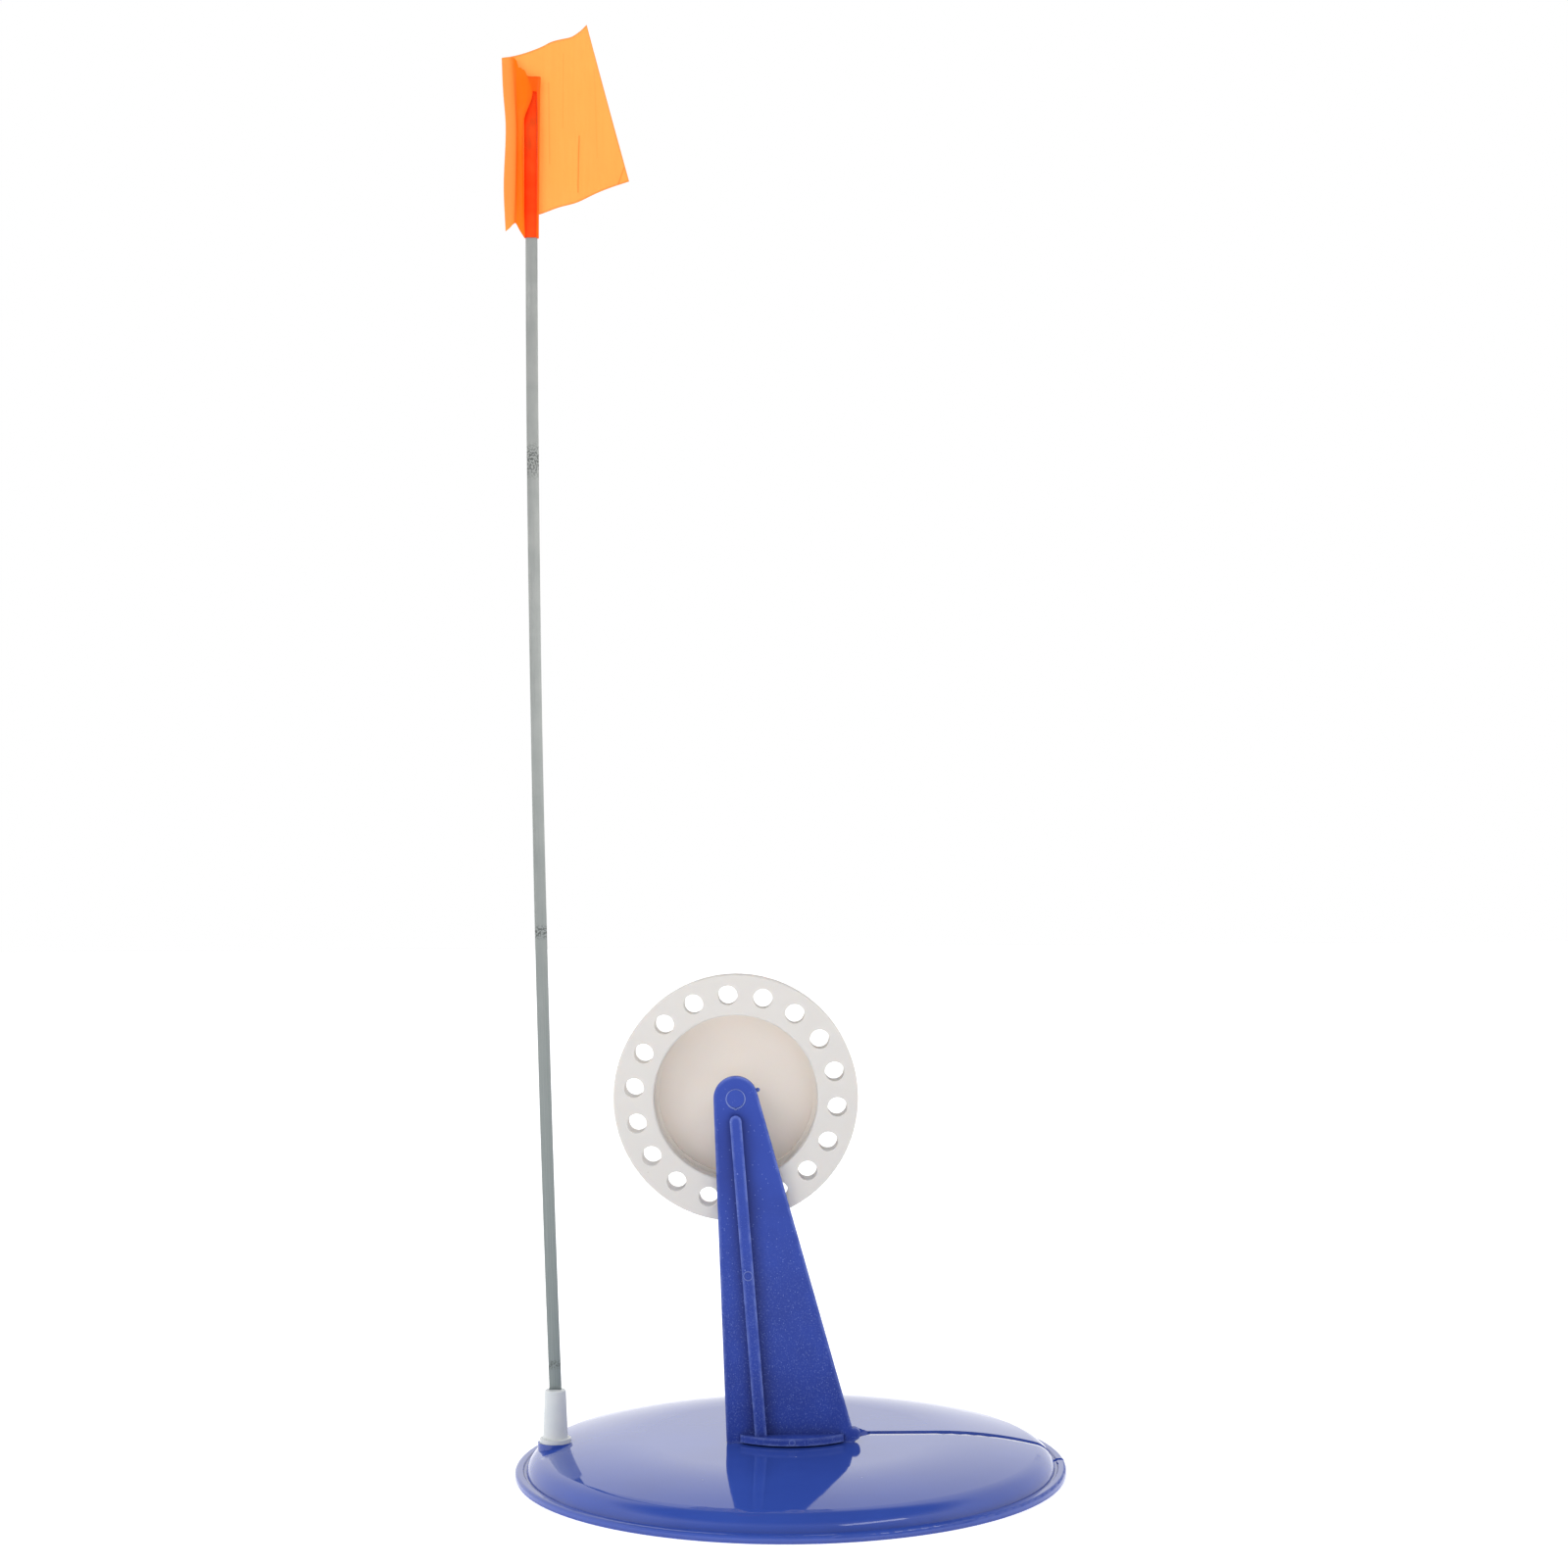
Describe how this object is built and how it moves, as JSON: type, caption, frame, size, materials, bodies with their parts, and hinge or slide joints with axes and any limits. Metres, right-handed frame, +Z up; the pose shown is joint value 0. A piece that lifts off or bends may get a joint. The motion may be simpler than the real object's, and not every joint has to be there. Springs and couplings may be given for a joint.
{
  "type": "ice fishing tip up",
  "caption": "Round base for an ice hole with a line slot, a plug-in stand that carries a holed line reel, and an orange flag on a spring strip.",
  "frame": {"origin": "centre of the round base on the ice surface that it stands on", "axes": "+Z up from the ice; +X from the centre along the line slot; -Y is the front, where the stand's plate faces"},
  "size_m": [0.1837, 0.18, 0.4804],
  "materials": {
    "blue_base": "glossy moulded polystyrene",
    "blue_stand": "satin moulded plastic with a fine speckle",
    "reel_plastic": "natural off-white polypropylene",
    "pale_plastic": "pale grey moulded plastic",
    "spring_steel": "plain rolled spring steel",
    "orange_film": "thin translucent signal film"
  },
  "bodies": {
    "base": {"base_disc": "blue_base", "stand": "blue_stand", "axle_pin": "blue_stand", "axle_spacer": "pale_plastic", "axle_retainer": "spring_steel"},
    "reel": {"reel_front": "reel_plastic", "reel_rear": "reel_plastic"},
    "flag_foot": {"flag_socket": "pale_plastic", "strip_root": "spring_steel"},
    "strip_length_1": {"strip_1": "spring_steel"},
    "strip_length_2": {"strip_2": "spring_steel"},
    "strip_length_3": {"strip_3": "spring_steel"},
    "strip_length_4": {"strip_4": "spring_steel"},
    "strip_length_5": {"strip_5": "spring_steel"},
    "strip_length_6": {"strip_6": "spring_steel"},
    "strip_length_7": {"strip_7": "spring_steel"},
    "strip_length_8": {"strip_8": "spring_steel"},
    "strip_length_9": {"strip_9": "spring_steel"},
    "strip_length_10": {"strip_10": "spring_steel"},
    "strip_length_11": {"strip_11": "spring_steel"},
    "strip_length_12": {"strip_12": "spring_steel"},
    "strip_length_13": {"strip_13": "spring_steel"},
    "strip_length_14": {"strip_14": "spring_steel"},
    "strip_length_15": {"strip_15": "spring_steel", "flag_film": "orange_film"}
  },
  "joints": [
    {"name": "reel_spin", "type": "hinge", "parent": "base", "child": "reel", "pos_m": [-0.0172, -0.0031, 0.1223], "axis": [0, 1, 0], "continuous": true},
    {"name": "flag_turn", "type": "hinge", "parent": "base", "child": "flag_foot", "pos_m": [-0.0772, 0, 0.0094], "axis": [0, 0, 1], "range_deg": [0, 90]},
    {"name": "flag_bend", "type": "hinge", "parent": "flag_foot", "child": "strip_length_1", "pos_m": [-0.0772, 0, 0.0281], "axis": [-1, 0, 0], "range_deg": [0, 18], "stiffness_Nm_per_rad": 4.216},
    {"name": "flag_bend_2", "type": "hinge", "parent": "strip_length_1", "child": "strip_length_2", "pos_m": [-0.07815, 0, 0.05508], "axis": [1, 0, 0], "range_deg": [-13.1, 0]},
    {"name": "flag_bend_3", "type": "hinge", "parent": "strip_length_2", "child": "strip_length_3", "pos_m": [-0.07904, 0, 0.08207], "axis": [1, 0, 0], "range_deg": [-7.9, 0]},
    {"name": "flag_bend_4", "type": "hinge", "parent": "strip_length_3", "child": "strip_length_4", "pos_m": [-0.07985, 0, 0.10906], "axis": [1, 0, 0], "range_deg": [-2.6, 0]},
    {"name": "flag_bend_5", "type": "hinge", "parent": "strip_length_4", "child": "strip_length_5", "pos_m": [-0.08059, 0, 0.13605], "axis": [1, 0, 0], "range_deg": [0, 2.9]},
    {"name": "flag_bend_6", "type": "hinge", "parent": "strip_length_5", "child": "strip_length_6", "pos_m": [-0.08126, 0, 0.16304], "axis": [1, 0, 0], "range_deg": [0, 8.2]},
    {"name": "flag_bend_7", "type": "hinge", "parent": "strip_length_6", "child": "strip_length_7", "pos_m": [-0.08186, 0, 0.19003], "axis": [1, 0, 0], "range_deg": [0, 13.5]},
    {"name": "flag_bend_8", "type": "hinge", "parent": "strip_length_7", "child": "strip_length_8", "pos_m": [-0.08239, 0, 0.21703], "axis": [1, 0, 0], "range_deg": [0, 18.6]},
    {"name": "flag_bend_9", "type": "hinge", "parent": "strip_length_8", "child": "strip_length_9", "pos_m": [-0.08285, 0, 0.24402], "axis": [1, 0, 0], "range_deg": [0, 22.9]},
    {"name": "flag_bend_10", "type": "hinge", "parent": "strip_length_9", "child": "strip_length_10", "pos_m": [-0.08324, 0, 0.27102], "axis": [1, 0, 0], "range_deg": [0, 25.8]},
    {"name": "flag_bend_11", "type": "hinge", "parent": "strip_length_10", "child": "strip_length_11", "pos_m": [-0.08356, 0, 0.29802], "axis": [1, 0, 0], "range_deg": [0, 26.4]},
    {"name": "flag_bend_12", "type": "hinge", "parent": "strip_length_11", "child": "strip_length_12", "pos_m": [-0.08381, 0, 0.32502], "axis": [1, 0, 0], "range_deg": [0, 24.7]},
    {"name": "flag_bend_13", "type": "hinge", "parent": "strip_length_12", "child": "strip_length_13", "pos_m": [-0.08399, 0, 0.35202], "axis": [1, 0, 0], "range_deg": [0, 21]},
    {"name": "flag_bend_14", "type": "hinge", "parent": "strip_length_13", "child": "strip_length_14", "pos_m": [-0.08409, 0, 0.37902], "axis": [1, 0, 0], "range_deg": [0, 16.2]},
    {"name": "flag_bend_15", "type": "hinge", "parent": "strip_length_14", "child": "strip_length_15", "pos_m": [-0.08413, 0, 0.40602], "axis": [1, 0, 0], "range_deg": [0, 11]}
  ],
  "couplings": [
    {"joint": "flag_bend_2", "follows": "flag_bend", "ratio": -0.722},
    {"joint": "flag_bend_3", "follows": "flag_bend", "ratio": -0.429},
    {"joint": "flag_bend_4", "follows": "flag_bend", "ratio": -0.136},
    {"joint": "flag_bend_5", "follows": "flag_bend", "ratio": 0.155},
    {"joint": "flag_bend_6", "follows": "flag_bend", "ratio": 0.447},
    {"joint": "flag_bend_7", "follows": "flag_bend", "ratio": 0.741},
    {"joint": "flag_bend_8", "follows": "flag_bend", "ratio": 1.023},
    {"joint": "flag_bend_9", "follows": "flag_bend", "ratio": 1.265},
    {"joint": "flag_bend_10", "follows": "flag_bend", "ratio": 1.423},
    {"joint": "flag_bend_11", "follows": "flag_bend", "ratio": 1.459},
    {"joint": "flag_bend_12", "follows": "flag_bend", "ratio": 1.362},
    {"joint": "flag_bend_13", "follows": "flag_bend", "ratio": 1.159},
    {"joint": "flag_bend_14", "follows": "flag_bend", "ratio": 0.894},
    {"joint": "flag_bend_15", "follows": "flag_bend", "ratio": 0.604}
  ]
}
